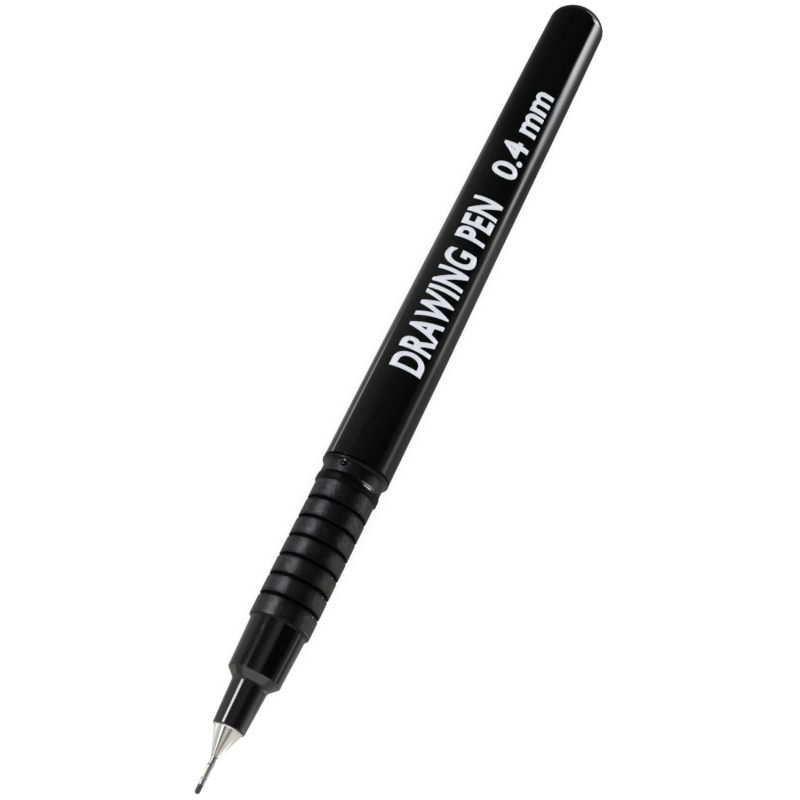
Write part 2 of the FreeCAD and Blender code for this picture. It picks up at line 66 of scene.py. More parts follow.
# ----------------------------------------------------------------------------
# Node helpers
# ----------------------------------------------------------------------------
class Net:
    """Adds nodes and links to one node tree. Values may be numbers or output sockets."""

    def __init__(self, tree):
        self.tree = tree
        self.tree.nodes.clear()

    def feed(self, node, values):
        """Set or link inputs; values maps an input's name or index to its value."""
        for key, value in values.items():
            socket = node.inputs[key]
            if isinstance(value, bpy.types.NodeSocket):
                self.tree.links.new(value, socket)
            elif socket.type == "RGBA":
                socket.default_value = (*value, 1.0)
            else:
                socket.default_value = value

    def node(self, kind, values, **settings):
        node = self.tree.nodes.new(kind)
        for key, value in settings.items():
            setattr(node, key, value)
        self.feed(node, values)
        return node

    def calc(self, operation, a, b=0.0, c=0.0):
        return self.node("ShaderNodeMath", {0: a, 1: b, 2: c}, operation=operation).outputs[0]

    def chain(self, operation, first, *rest):
        for value in rest:
            first = self.calc(operation, first, value)
        return first

    def times(self, *factors):
        return self.chain("MULTIPLY", *factors)

    def plus(self, *terms):
        return self.chain("ADD", *terms)

    def most(self, *values):
        return self.chain("MAXIMUM", *values)

    def hypot(self, a, b):
        return self.calc("SQRT", self.plus(self.times(a, a), self.times(b, b)))

    def span(self, value, off, on, low=0.0, high=1.0):
        """Smooth step: low where value is at off, high where it is at on."""
        return self.node("ShaderNodeMapRange",
                         {"Value": value, "From Min": off, "From Max": on,
                          "To Min": low, "To Max": high},
                         interpolation_type="SMOOTHSTEP").outputs[0]

    def window(self, value, rise, fall):
        """1 between rise and fall, 0 outside them."""
        return self.times(self.span(value, off=rise[0], on=rise[1]),
                          self.span(value, off=fall[1], on=fall[0]))

    def mix(self, factor, a, b):
        """Colour a where factor is 0, b where it is 1."""
        return self.node("ShaderNodeMix", {0: factor, 6: a, 7: b}, data_type="RGBA").outputs[2]

    def mix_value(self, factor, a, b):
        return self.node("ShaderNodeMix", {0: factor, 2: a, 3: b}, data_type="FLOAT").outputs[0]

    def noise(self, vector, scale, detail=4.0, rough=0.55, distortion=0.0):
        return self.node("ShaderNodeTexNoise",
                         {"Vector": vector, "Scale": scale, "Detail": detail,
                          "Roughness": rough, "Distortion": distortion}).outputs["Fac"]

    def drawn_noise(self, vector, along, across, detail=4.0, rough=0.55, distortion=0.0):
        """Noise with its own scale along the pen and across it, for long or ring marks."""
        stretched = self.node("ShaderNodeVectorMath", {0: vector, 1: (along, across, across)},
                              operation="MULTIPLY")
        return self.noise(stretched.outputs[0], 1.0, detail, rough, distortion)

    def relief(self, *layers):
        """Bumps laid over one another, each (height, strength, distance in metres)."""
        normal = None
        for height, strength, distance in layers:
            values = {"Strength": strength, "Distance": distance, "Height": height}
            if normal is not None:
                values["Normal"] = normal
            normal = self.node("ShaderNodeBump", values).outputs["Normal"]
        return normal

    def split(self, vector):
        return self.node("ShaderNodeSeparateXYZ", {0: vector}).outputs

    def turn(self, axes):
        """Angle round the pen's axis, in radians."""
        return self.calc("ARCTAN2", self.times(axes[1], -1.0), axes[2])

    def turn_share(self, axes):
        """The same angle as 0..1, with the top at 0.5."""
        return self.calc("MULTIPLY_ADD", self.turn(axes), 0.5 / math.pi, 0.5)

    def turn_ramp(self, share, rows, full, tint=WHITE):
        """Light round the axis. Each row is (turn, strength) or (turn, strength, tint),
        and strength is stored as its part of full."""
        node = self.node("ShaderNodeValToRGB", {0: share})
        stops = node.color_ramp.elements
        while len(stops) > 1:
            stops.remove(stops[-1])
        for i, (turn, strength, *own) in enumerate(rows):
            stop = stops[0] if i == 0 else stops.new(share_of(turn))
            stop.position = share_of(turn)
            stop.color = (*(c * strength / full for c in (own[0] if own else tint)), 1.0)
        return node.outputs[0]


def share_of(turn):
    return (turn + 180.0) / 360.0


def shader_tree(owner, output_kind="ShaderNodeOutputMaterial"):
    """Empty the owner's node tree; returns it and the function that connects a shader."""
    owner.use_nodes = True
    net = Net(owner.node_tree)
    output = net.node(output_kind, {})
    return net, lambda shader: net.feed(output, {"Surface": shader.outputs[0]})


def material(name, look):
    """A material whose look(net, mm, bsdf) gets object coordinates in millimetres."""
    made = bpy.data.materials.new(name)
    net, show = shader_tree(made)
    bsdf = net.node("ShaderNodeBsdfPrincipled", {})
    show(bsdf)
    coord = net.node("ShaderNodeTexCoord", {})
    mm = net.node("ShaderNodeVectorMath", {0: coord.outputs["Object"], "Scale": 1000.0},
                  operation="SCALE")
    look(net, mm.outputs[0], bsdf)
    return made


# ----------------------------------------------------------------------------
# Materials
# ----------------------------------------------------------------------------
def glossy_black(base, smooth, rough, waviness, streak=0.0, dull_edge=None):
    """Moulded gloss black plastic: faint cloudiness, hairline scratches, dust.
    smooth and rough are the roughness limits; dull_edge is the x of an unpolished rim."""

    def look(net, mm, bsdf):
        cloud = net.noise(mm, scale=0.35, detail=3.0)
        long_scratch = net.drawn_noise(mm, along=0.25, across=9.0, detail=5.0, rough=0.7)
        ring_scratch = net.drawn_noise(mm, along=7.0, across=0.9, detail=5.0, rough=0.7,
                                       distortion=0.4)
        hair = net.most(net.span(long_scratch, off=0.66, on=0.74),
                        net.span(ring_scratch, off=0.68, on=0.76))
        cells = net.node("ShaderNodeTexVoronoi", {"Vector": mm, "Scale": 1.3})
        dust = net.span(cells.outputs["Distance"], off=0.060, on=0.035)
        tint = net.mix(cloud, (base, base, base * 1.03), (base * 1.4, base * 1.4, base * 1.5))
        tint = net.mix(net.times(dust, 0.5), tint, (0.03, 0.03, 0.032))
        if streak:
            # fine drawn lines along the pen, where the moulding was polished
            drawn = net.drawn_noise(mm, along=0.06, across=5.0, rough=0.65)
            lines = net.span(drawn, off=0.50, on=0.72)
            tint = net.mix(net.times(lines, streak), tint, (0.045, 0.045, 0.046))
        if dull_edge:
            net.feed(bsdf, {"Specular IOR Level": net.span(
                net.split(mm)[0], off=dull_edge, on=dull_edge + 0.12, low=0.05, high=0.5)})
        slow = net.drawn_noise(mm, along=0.10, across=0.55, detail=2.0, rough=0.4)
        fine = net.noise(mm, scale=6.0, detail=3.0)
        net.feed(bsdf, {
            "Base Color": tint,
            "Roughness": net.plus(net.mix_value(cloud, smooth, rough),
                                  net.times(hair, 0.08), net.times(dust, 0.25)),
            "IOR": 1.5,
            "Normal": net.relief((slow, waviness, 0.0004), (fine, 0.05, 0.00003),
                                 (hair, 0.10, 0.000012)),
        })

    return look


# Grip section, x along the pen
GROOVE_X = 28.56                # a groove's centre
GROOVE_HALF_PITCH = 1.551
BUMP_X = 49.84                  # the two snap bumps
# the pale spots behind the bumps are painted glints, standing in for reflections
BUMP_GLINT_X = 50.28             # the pale marks behind them
BUMP_TURNS = (-27.0, 153.0)
# painted glints on the rear edges of three lands, pale spots where those edges would catch a lamp
LAND_GLINTS = ((28.10, 52.0), (31.20, 53.0), (34.31, 51.0))   # x, turn
ARC_PER_DEGREE = 0.083          # length round the grip's outside


def grip_zones(net, mm):
    """Masks for the parts of the grip section, and spot(), the distance from a point
    on its surface in units of the spot's half sizes."""
    axes = net.split(mm)
    x = axes[0]
    radius = net.hypot(axes[1], axes[2])
    turn = net.times(net.turn(axes), 180.0 / math.pi)

    on_rings = net.window(x, rise=(27.6, 27.7), fall=(44.8, 44.9))
    from_groove = net.calc("PINGPONG", net.calc("SUBTRACT", x, GROOVE_X), GROOVE_HALF_PITCH)
    in_grip = net.window(x, rise=(25.3, 25.5), fall=(46.6, 47.0))

    def spot(spot_x, spot_turn, half_length, half_arc):
        dx = net.times(net.calc("SUBTRACT", x, spot_x), 1.0 / half_length)
        arc = net.times(net.calc("SUBTRACT", turn, spot_turn), ARC_PER_DEGREE / half_arc)
        return net.hypot(dx, arc)

    return SimpleNamespace(
        near_groove=net.times(net.span(from_groove, off=0.95, on=0.30), on_rings),
        in_groove=net.times(net.span(radius, off=4.545, on=4.45), in_grip),
        front_end=net.span(x, off=25.72, on=25.35),
        flange=net.window(x, rise=(46.85, 47.05), fall=(48.3, 48.5)),
        # patch of the flange's rear, glossier to catch the lamp's glint and painted pale as a
        # painted highlight
        glint_patch=net.times(net.window(x, rise=(48.00, 48.09), fall=(48.16, 48.24)),
                         net.span(turn, off=21.0, on=26.0), net.span(turn, off=41.0, on=36.0)),
        collar=net.window(x, rise=(48.5, 48.9), fall=(50.3, 50.6)),
        snap_bumps=net.times(net.span(radius, off=4.66, on=4.72),
                             net.span(x, off=50.28, on=50.2), net.span(x, off=49.0, on=49.2)),
        behind_collar=net.times(net.span(x, off=50.15, on=50.45),
                                net.span(radius, off=4.7, on=4.8)),
        rear_end=net.span(x, off=50.60, on=50.80),
        spot=spot)


def grip_shine(net, mm, zone):
    """Specular level: mottled, and darker where a part is shaded."""
    mottle = net.noise(mm, scale=2.3, detail=5.0, rough=0.68, distortion=0.4)
    level = net.span(mottle, off=0.32, on=0.68, low=0.26, high=0.66)
    # each part's mask and the level it is taken towards
    for mask, target in ((net.times(zone.near_groove, 0.62), 0.08),
                         (zone.in_groove, 0.04),
                         (net.times(zone.collar, 0.30), 0.05),
                         (net.times(zone.front_end, 0.62), 0.04),
                         (net.times(zone.behind_collar, 0.70), 0.06),
                         (net.times(zone.flange, 0.92), 0.04),
                         (zone.rear_end, 0.02)):
        level = net.mix_value(mask, level, target)
    # each snap bump sits in a ring of lowered reflection, painted shade round the bump
    for turn in BUMP_TURNS:
        distance = zone.spot(BUMP_X, turn, half_length=1.0, half_arc=1.0)
        ring = net.window(distance, rise=(0.18, 0.26), fall=(0.48, 0.56))
        level = net.mix_value(ring, level, 0.02)
    return net.mix_value(zone.glint_patch, level, 1.0)


def painted_grip_glints(net, zone):
    """Painted glints: pale spots behind the snap bumps, on the flange's glint patch and on the
    rear edges of three lands.
    """
    marks = [net.span(zone.spot(BUMP_GLINT_X, turn, half_length=0.11, half_arc=0.24),
                      off=1.15, on=0.5) for turn in BUMP_TURNS]
    marks.append(net.times(zone.glint_patch, 0.8))
    for x, turn in LAND_GLINTS:
        land_glint = zone.spot(x, turn, half_length=0.11, half_arc=0.16)
        marks.append(net.times(net.span(land_glint, off=1.2, on=0.5), 0.55))
    return net.most(*marks)


def grip_look(net, mm, bsdf):
    """Satin moulding with a leathery grain and scuffs, painted glints on the flange, lands and
    behind the snap bumps, and grooves darkened as painted shade.
    """
    zone = grip_zones(net, mm)
    grain = net.noise(mm, scale=3.4, detail=5.0, rough=0.62, distortion=0.3)
    fine = net.noise(mm, scale=9.0, rough=0.6)
    patch = net.noise(mm, scale=0.55, rough=0.6)
    scuff = net.drawn_noise(mm, along=1.1, across=2.6, detail=6.0, rough=0.72, distortion=0.6)
    scuffed = net.span(scuff, off=0.58, on=0.76)

    tint = net.mix(patch, (0.0010, 0.0010, 0.0010), (0.0022, 0.0021, 0.0020))
    tint = net.mix(net.times(scuffed, 0.4), tint, (0.008, 0.008, 0.008))
    # painted shade: the grooves' colour is darkened below the lands'
    tint = net.mix(zone.in_groove, tint, (0.0005, 0.0005, 0.0005))
    # painted glints: pale spots lighten the colour where reflections would be
    tint = net.mix(painted_grip_glints(net, zone), tint, (0.42, 0.42, 0.44))

    rough = net.plus(net.mix_value(patch, 0.29, 0.22), net.times(scuffed, 0.05),
                     net.times(zone.in_groove, 0.4))
    rough = net.mix_value(net.most(zone.glint_patch, zone.snap_bumps), rough, 0.16)

    # the glint patch keeps little of the grain
    calm = net.mix_value(zone.glint_patch, 1.0, 0.15)
    net.feed(bsdf, {
        "Base Color": tint,
        "Roughness": rough,
        "IOR": 1.5,
        "Specular IOR Level": grip_shine(net, mm, zone),
        "Normal": net.relief((net.times(grain, calm), 0.26, 0.00016),
                             (net.times(scuff, calm), 0.20, 0.00014),
                             (net.times(fine, calm), 0.12, 0.00005)),
    })


def metal_look(base, dark, smooth, rough, stains, shade_bands, metallic=1.0):
    """Bright metal with turning marks round the axis, small dark stains, and darker bands of
    painted shade at its steps and crimp.
    smooth and rough are the roughness limits.
    Each shade band is (from x, to x, how strong the painted shade is, its colour)."""
    band_edge = 0.03

    def look(net, mm, bsdf):
        rings = net.drawn_noise(mm, along=22.0, across=0.6, detail=3.0, rough=0.7)
        long_marks = net.drawn_noise(mm, along=0.5, across=9.0, rough=0.6)
        stain = net.span(net.noise(mm, scale=1.6, detail=5.0, rough=0.6, distortion=0.5),
                         off=0.56, on=0.76)
        tint = net.mix(rings, base, tuple(c * 0.92 for c in base))
        tint = net.mix(net.times(stain, stains), tint, dark)
        x = net.split(mm)[0]
        # painted shade: each band darkens the metal's colour at a step, crease or crimp
        for x0, x1, shade_amount, colour in shade_bands:
            inside = net.window(x, rise=(x0 - band_edge, x0 + band_edge),
                                fall=(x1 - band_edge, x1 + band_edge))
            tint = net.mix(net.times(inside, shade_amount), tint, colour)
        net.feed(bsdf, {
            "Base Color": tint,
            "Metallic": metallic,
            "Roughness": net.plus(net.mix_value(long_marks, smooth, rough),
                                  net.times(stain, 0.10)),
            "Normal": net.relief((rings, 0.20, 0.000012), (long_marks, 0.06, 0.000012)),
        })

    return look


def nib_look(net, mm, bsdf):
    """Extruded capillary plastic, inked: lengthwise fibres, worn and paler at the end."""
    x = net.split(mm)[0]
    fibre = net.drawn_noise(mm, along=2.2, across=26.0, rough=0.6)
    speck = net.noise(mm, scale=9.0)
    worn = net.span(x, off=0.55, on=0.05, high=0.5)
    pale = net.span(speck, off=0.62, on=0.72, high=0.5)
    tint = net.mix(fibre, (0.018, 0.018, 0.021), (0.055, 0.055, 0.062))
    tint = net.mix(worn, tint, (0.075, 0.074, 0.078))
    tint = net.mix(pale, tint, (0.11, 0.11, 0.12))
    net.feed(bsdf, {
        "Base Color": tint,
        "Roughness": net.mix_value(speck, 0.42, 0.62),
        "Normal": net.relief((speck, 0.4, 0.00003), (fibre, 0.6, 0.00004)),
    })


def fibre_look(dark, light, along):
    """Inked fibre bundle; along is the scale of its strands along the pen."""

    def look(net, mm, bsdf):
        strand = net.drawn_noise(mm, along=along, across=9.0, detail=6.0, rough=0.7,
                                 distortion=0.8)
        clump = net.noise(mm, scale=0.7, detail=3.0)
        tint = net.mix(strand, dark, light)
        net.feed(bsdf, {
            "Base Color": net.mix(net.times(clump, 0.5), tint, dark),
            "Roughness": 0.9,
            "Sheen Weight": 0.3,
            "Normal": net.relief((strand, 0.9, 0.00015)),
        })

    return look


def film_look(net, mm, bsdf):
    """Clear film with soft lengthwise creases."""
    crease = net.drawn_noise(mm, along=0.35, across=2.4, rough=0.6, distortion=0.5)
    net.feed(bsdf, {
        "Base Color": net.mix(crease, (0.70, 0.72, 0.75), (0.86, 0.87, 0.90)),
        "Roughness": net.mix_value(crease, 0.18, 0.34),
        "Transmission Weight": 0.55,
        "IOR": 1.46,
        "Normal": net.relief((crease, 0.5, 0.00015)),
    })


def holder_look(net, mm, bsdf):
    """White moulded plastic with faint flow marks."""
    flow = net.drawn_noise(mm, along=0.5, across=1.4)
    net.feed(bsdf, {
        "Base Color": net.mix(flow, (0.72, 0.72, 0.69), (0.86, 0.86, 0.84)),
        "Roughness": net.mix_value(flow, 0.34, 0.5),
        "Subsurface Weight": 0.15,
        "Subsurface Radius": (0.001, 0.001, 0.001),
        "Normal": net.relief((net.noise(mm, scale=7.0), 0.2, 0.00004)),
    })


def ink_look(net, mm, bsdf):
    """Pad-printed white ink: slightly uneven cover and a soft screen of pinholes."""
    cover = net.noise(mm, scale=5.0, detail=5.0, rough=0.6)
    screen = net.noise(mm, scale=15.0, detail=3.0, rough=0.6)
    pinholes = net.span(screen, off=0.60, on=0.75, high=0.45)
    tint = net.mix(cover, (0.66, 0.67, 0.75), (0.82, 0.83, 0.90))
    net.feed(bsdf, {
        "Base Color": net.mix(pinholes, tint, (0.42, 0.42, 0.50)),
        "Roughness": net.mix_value(cover, 0.35, 0.55),
        "Normal": net.relief((screen, 0.2, 0.00002)),
    })


# darker bands painted as shade at steps and the crimp: from x, to x, how strong, colour
CONE_SHADE_BANDS = (
    (5.4, 5.6, 0.45, (0.35, 0.33, 0.31)),
    (9.50, 9.80, 0.55, (0.46, 0.43, 0.32)),
)
TUBE_SHADE_BANDS = (
    (1.0, 1.34, 0.75, (0.16, 0.15, 0.15)),
    (1.34, 2.20, 0.45, (0.36, 0.36, 0.40)),
    (2.20, 2.32, 0.80, (0.10, 0.095, 0.08)),
    (4.17, 4.36, 0.85, (0.10, 0.09, 0.09)),
    (4.36, 5.9, 0.30, (0.40, 0.38, 0.38)),
)

# CAD node: its material's name and look
LOOKS = {
    "barrel": ("barrel_gloss", glossy_black(base=0.0020, smooth=0.030, rough=0.060,
                                            waviness=0.06, dull_edge=51.12)),
    "nose_piece": ("nose_gloss", glossy_black(base=0.0014, smooth=0.06, rough=0.09,
                                              waviness=0.03, streak=0.10)),
    "grip_section": ("grip_matte", grip_look),
    "tip_cone": ("cone_nickel", metal_look(base=(0.80, 0.785, 0.755), dark=(0.42, 0.40, 0.36),
                                           smooth=0.10, rough=0.16, stains=0.25,
                                           shade_bands=CONE_SHADE_BANDS)),
    "tip_tube": ("tube_steel", metal_look(base=(0.74, 0.72, 0.69), dark=(0.40, 0.37, 0.32),
                                          smooth=0.14, rough=0.22, stains=0.30,
                                          shade_bands=TUBE_SHADE_BANDS, metallic=0.88)),
    "writing_nib": ("nib_inked", nib_look),
    "relay_wick": ("wick_inked", fibre_look(dark=(0.006, 0.006, 0.009),
                                            light=(0.03, 0.03, 0.04), along=0.5)),
    "ink_reservoir": ("core_inked", fibre_look(dark=(0.004, 0.004, 0.007),
                                               light=(0.024, 0.024, 0.034), along=0.3)),
    "reservoir_film": ("film_clear", film_look),
    "nib_holder": ("holder_white", holder_look),
}
MATERIALS = {node: material(name, look) for node, (name, look) in LOOKS.items()}
MARKING = material("marking_white", ink_look)

for node_name, obj in NODES.items():
    if len(obj.material_slots) == 0:
        obj.data.materials.append(MATERIALS[node_name])
    for slot in obj.material_slots:
        slot.material = MATERIALS[node_name]


# ----------------------------------------------------------------------------
# Printed marking, wrapped round the barrel
# ----------------------------------------------------------------------------
PRINTABLE_X = (51.2, 134.2)     # the barrel's outside between its ends
INNER_LIMIT = 4.3               # smaller radii are inside the barrel
INK_ABOVE = 0.016               # ink skin's outer face over the barrel's surface
INK_BELOW = -0.03               # its inner face, sunk in the barrel
TEXT_ROWS = 28


def outer_profile(barrel):
    """The barrel's outside as (x, radius), read off its vertices."""
    rows = {}
    for v in barrel.data.vertices:
        x = round(v.co.x * 1000, 1)
        radius = math.hypot(v.co.y, v.co.z) * 1000
        rows[x] = max(rows.get(x, 0.0), radius)
    return [(x, rows[x]) for x in sorted(rows)
            if rows[x] > INNER_LIMIT and PRINTABLE_X[0] < x < PRINTABLE_X[1]]


PROFILE = outer_profile(NODES["barrel"])


def barrel_radius(x):
    for (x0, r0), (x1, r1) in zip(PROFILE, PROFILE[1:]):
        if x0 <= x <= x1:
            return r0 + (r1 - r0) * (x - x0) / (x1 - x0)
    return PROFILE[-1][1]


def text_mesh(name, words, weight, spacing):
    """Flat filled text; weight thickens the strokes."""
    curve = bpy.data.curves.new(name + "_text", "FONT")
    curve.body = words
    curve.size = 1.0
    curve.offset = weight
    curve.resolution_u = 8
    curve.space_character = spacing
    flat = add_object(name + "_flat", curve)
    bpy.context.view_layer.update()
    depsgraph = bpy.context.evaluated_depsgraph_get()
    mesh = bpy.data.meshes.new_from_object(flat.evaluated_get(depsgraph))
    bpy.data.objects.remove(flat)
    return mesh


def fit_text(bm, x0, x1, height):
    """Scale the flat text to run from x0 to x1 and from y = 0 to height."""
    xs = [v.co.x for v in bm.verts]
    ys = [v.co.y for v in bm.verts]
    low_x, high_x, low_y, high_y = min(xs), max(xs), min(ys), max(ys)
    for v in bm.verts:
        v.co.x = x0 + (v.co.x - low_x) / (high_x - low_x) * (x1 - x0)
        v.co.y = (v.co.y - low_y) / (high_y - low_y) * height
        v.co.z = 0.0


def cut_rows(bm, height):
    """Cut along lines of constant height, so that the skin can bend."""
    for k in range(1, TEXT_ROWS):
        y = height * k / TEXT_ROWS
        bmesh.ops.bisect_plane(bm, geom=bm.verts[:] + bm.edges[:] + bm.faces[:],
                               plane_co=(0, y, 0), plane_no=(0, 1, 0), dist=1e-6)
    bmesh.ops.dissolve_degenerate(bm, dist=1e-5, edges=bm.edges)
    bmesh.ops.triangulate(bm, faces=bm.faces)
    bmesh.ops.recalc_face_normals(bm, faces=bm.faces)
    # the faces have to look outwards, +Z before wrapping
    if sum(f.normal.z for f in bm.faces) < 0:
        bmesh.ops.reverse_faces(bm, faces=bm.faces)


def thicken(bm):
    """Add a second layer at z = -1 under the first, joined round the edges."""
    top = list(bm.faces)
    rim = [e for e in bm.edges if e.is_boundary]
    under = {v: bm.verts.new((v.co.x, v.co.y, -1.0)) for v in list(bm.verts)}
    for f in top:
        bm.faces.new([under[v] for v in reversed(f.verts)])
    for e in rim:
        loop = e.link_loops[0]
        a, b = loop.vert, loop.link_loop_next.vert
        bm.faces.new([b, a, under[a], under[b]])


def wrap(bm, base_angle, mid_radius):
    """Bend both layers on to the barrel, y becoming the length round it."""
    for v in bm.verts:
        layer = INK_ABOVE if v.co.z > -0.5 else INK_BELOW
        radius = barrel_radius(v.co.x)
        angle = base_angle + v.co.y / mid_radius
        v.co = Vector((v.co.x * MM,
                       (radius + layer) * math.sin(angle) * MM,
                       (radius + layer) * math.cos(angle) * MM))


def printed(name, words, x0, x1, base_angle, top_angle, weight, spacing=1.0):
    """Text as a thin solid skin on the barrel from x0 to x1. Its baseline and top are
    angles in radians from the top of the barrel, positive towards +Y."""
    mesh = text_mesh(name, words, weight, spacing)
    mid_radius = barrel_radius(0.5 * (x0 + x1))
    height = (top_angle - base_angle) * mid_radius
    bm = bmesh.new()
    bm.from_mesh(mesh)
    bmesh.ops.remove_doubles(bm, verts=bm.verts, dist=1e-5)
    fit_text(bm, x0, x1, height)
    cut_rows(bm, height)
    thicken(bm)
    wrap(bm, base_angle, mid_radius)
    bmesh.ops.triangulate(bm, faces=bm.faces)
    bm.to_mesh(mesh)
    bm.free()
    mesh.materials.clear()
    mesh.materials.append(MARKING)
    obj = add_object(name, mesh)
    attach(obj, "barrel_unit")


printed("marking_words", "DRAWING PEN", x0=66.35, x1=97.4,
        base_angle=-0.494, top_angle=0.560, weight=0.030, spacing=1.10)
printed("marking_line_width", "0.4 mm", x0=101.75, x1=118.25,
        base_angle=-0.425, top_angle=0.455, weight=0.026)


# ----------------------------------------------------------------------------
# Floor
# ----------------------------------------------------------------------------
FLOOR_HALF = 4.0                # metres
FLOOR_GAP = 0.00005             # metres, below the pen
FLOOR_GLOW = 0.74


def make_floor():
    """Pale, slightly glowing sheet that reflections don't see."""
    paper = bpy.data.materials.new("floor_paper")
    net, show = shader_tree(paper)
    coord = net.node("ShaderNodeTexCoord", {})
    soft = net.noise(coord.outputs["Object"], scale=3.0, detail=3.0)
    grey = net.mix(soft, (0.40, 0.40, 0.40), (0.42, 0.42, 0.42))
    diffuse = net.node("ShaderNodeBsdfDiffuse", {"Color": grey})
    glow = net.node("ShaderNodeEmission", {"Color": WHITE, "Strength": FLOOR_GLOW})
    show(net.node("ShaderNodeAddShader", {0: diffuse.outputs[0], 1: glow.outputs[0]}))

    mesh = bpy.data.meshes.new("floor")
    half, z = FLOOR_HALF, cad_low[2] - FLOOR_GAP
    mesh.from_pydata([(-half, -half, z), (half, -half, z), (half, half, z), (-half, half, z)],
                     [], [(0, 1, 2, 3)])
    mesh.materials.append(paper)
    floor = add_object("floor", mesh)
    floor.visible_glossy = False


make_floor()

# ----------------------------------------------------------------------------
# Studio light
# ----------------------------------------------------------------------------
WARM, OLIVE = (1.0, 1.0, 0.90), (1.0, 0.985, 0.88)
PINK, COOL = (1.0, 0.965, 0.96), (0.94, 0.955, 1.12)

# Light round the pen, a table for each part that mirrors it: (turn, strength[, tint])
FRONT = [(-180, 1.4), (-90, 1.7), (0, 1.6), (90, 1.7), (180, 1.4)]
CONE = [
    (-180, 0.66), (-140, 0.56), (-100, 0.52), (-70, 0.60, COOL), (-63, 0.80), (-58, 1.40),
    (-48, 1.45), (-42, 0.60), (-37, 0.12), (-30, 0.13), (-22, 0.35, OLIVE),
    (-14, 0.68, OLIVE), (0, 0.62, OLIVE), (10, 0.52, OLIVE), (18, 0.24, OLIVE), (27, 0.21),
    (35, 0.46, PINK), (45, 0.72, PINK), (56, 0.80, PINK), (90, 0.78, PINK), (140, 0.72),
    (180, 0.66)]
NARROW_NOSE = [
    (-180, 0.45), (-134, 0.55), (-119, 0.80), (-95, 0.95), (-84, 0.85), (-72, 0.9),
    (-40, 0.30), (-11, 0.33), (2, 0.32), (12, 0.26), (20, 0.08), (35, 0.06), (47, 0.09),
    (60, 0.26), (77, 0.78), (86, 1.2), (94, 1.55), (106, 1.9), (120, 1.9), (134, 0.85),
    (152, 0.50), (180, 0.45)]
WIDE_NOSE = [
    (-180, 0.42), (-152, 0.55), (-119, 0.50), (-95, 0.55), (-84, 0.36), (-74, 0.14),
    (-56, 0.19), (-44, 0.07), (-32, 0.04), (-20, 0.17), (-6, 0.54), (3, 0.54), (12, 0.22),
    (17, 0.0), (58, 0.0), (68, 0.02), (76, 0.20), (86, 0.33), (89, 0.65), (92, 1.25),
    (97, 1.25), (100, 0.4), (104, 0.14), (110, 0.34), (125, 0.66), (134, 0.68),
    (152, 0.42), (180, 0.38)]
GRIP = [
    (-180, 0.35), (-152, 0.38), (-134, 0.36), (-106, 0.30), (-98, 0.55), (-88, 1.8, COOL),
    (-74, 5.4, COOL), (-64, 9.0, COOL), (-54, 8.6, COOL), (-44, 4.9, COOL), (-36, 0.9),
    (-26, 0.16), (-10, 0.05), (12, 0.0), (36, 0.0), (48, 0.04), (60, 0.16, WARM),
    (77, 0.36, WARM), (92, 0.52, WARM), (102, 0.46, WARM), (119, 0.38, WARM),
    (134, 0.30, WARM), (152, 0.20), (180, 0.20)]
REAR_GRIP = [
    (-180, 0.24), (-134, 0.17), (-98, 0.15), (-86, 0.22), (-76, 0.6, COOL),
    (-66, 2.3, COOL), (-54, 3.0, COOL), (-44, 2.3, COOL), (-36, 0.5), (-25, 0.08),
    (-8, 0.02), (12, 0.0), (36, 0.0), (48, 0.06), (60, 0.13, WARM), (77, 0.24, WARM),
    (92, 0.27, WARM), (102, 0.22, WARM), (119, 0.21, WARM), (134, 0.24, WARM),
    (152, 0.20), (180, 0.20)]
BARREL_MOUTH = [
    (-180, 0.38), (-152, 0.44), (-134, 0.34), (-124, 0.5), (-121, 2.4), (-116, 2.4),
    (-113, 0.30), (-86, 0.22), (-60, 0.18), (-35, 0.08), (0, 0.045), (35, 0.01), (53, 0.0),
    (62, 0.08), (70, 0.16), (79, 0.17), (82, 0.75), (88, 0.95), (90, 1.4), (94, 1.3),
    (98, 0.50), (106, 0.34), (119, 0.30), (134, 0.22), (152, 0.16), (180, 0.15)]
BARREL_MIDDLE = [
    (-180, 0.3), (-152, 0.40), (-134, 0.48), (-119, 0.30), (-95, 0.26), (-60, 0.22),
    (-35, 0.16), (0, 0.05), (35, 0.01), (54, 0.0), (60, 0.08), (70, 0.17), (80, 0.22),
    (84, 0.9), (87, 1.8), (91, 2.9), (95, 1.7), (99, 1.2), (106, 0.62), (119, 0.38),
    (134, 0.26), (152, 0.15), (180, 0.15)]
BARREL_BACK = [
    (-180, 0.25), (-152, 0.34), (-134, 0.34), (-119, 0.19), (-95, 0.19), (-60, 0.14),
    (-35, 0.07), (0, 0.045), (35, 0.01), (60, 0.03), (68, 0.10), (74, 0.25), (80, 0.9),
    (84, 5.0), (91, 4.6), (95, 1.6), (99, 0.8), (106, 0.24), (119, 0.20), (134, 0.18),
    (152, 0.12), (180, 0.12)]
BARREL_REAR = [
    (-180, 0.15), (-152, 0.20), (-134, 0.17), (-106, 0.10), (-60, 0.05), (-35, 0.03),
    (0, 0.03), (35, 0.01), (60, 0.03), (69, 0.12), (74, 2.6), (78, 5.4), (86, 6.3),
    (92, 3.9), (99, 1.8), (106, 0.75), (119, 0.27), (134, 0.20), (152, 0.13), (180, 0.12)]
BARREL_END = [
    (-180, 0.15), (-152, 0.18), (-134, 0.14), (-106, 0.08), (-60, 0.05), (-35, 0.03),
    (0, 0.03), (35, 0.01), (56, 0.01), (62, 0.2), (67, 3.8), (72, 10.4), (78, 10.2),
    (86, 7.6), (92, 5.0), (99, 2.5), (106, 1.0), (119, 0.32), (134, 0.18), (152, 0.14),
    (180, 0.14)]
TAIL = [
    (-180, 0.12), (-134, 0.12), (-60, 0.05), (0, 0.03), (50, 0.02), (60, 0.15), (72, 1.8),
    (84, 3.6), (96, 2.2), (108, 0.6), (134, 0.15), (180, 0.12)]

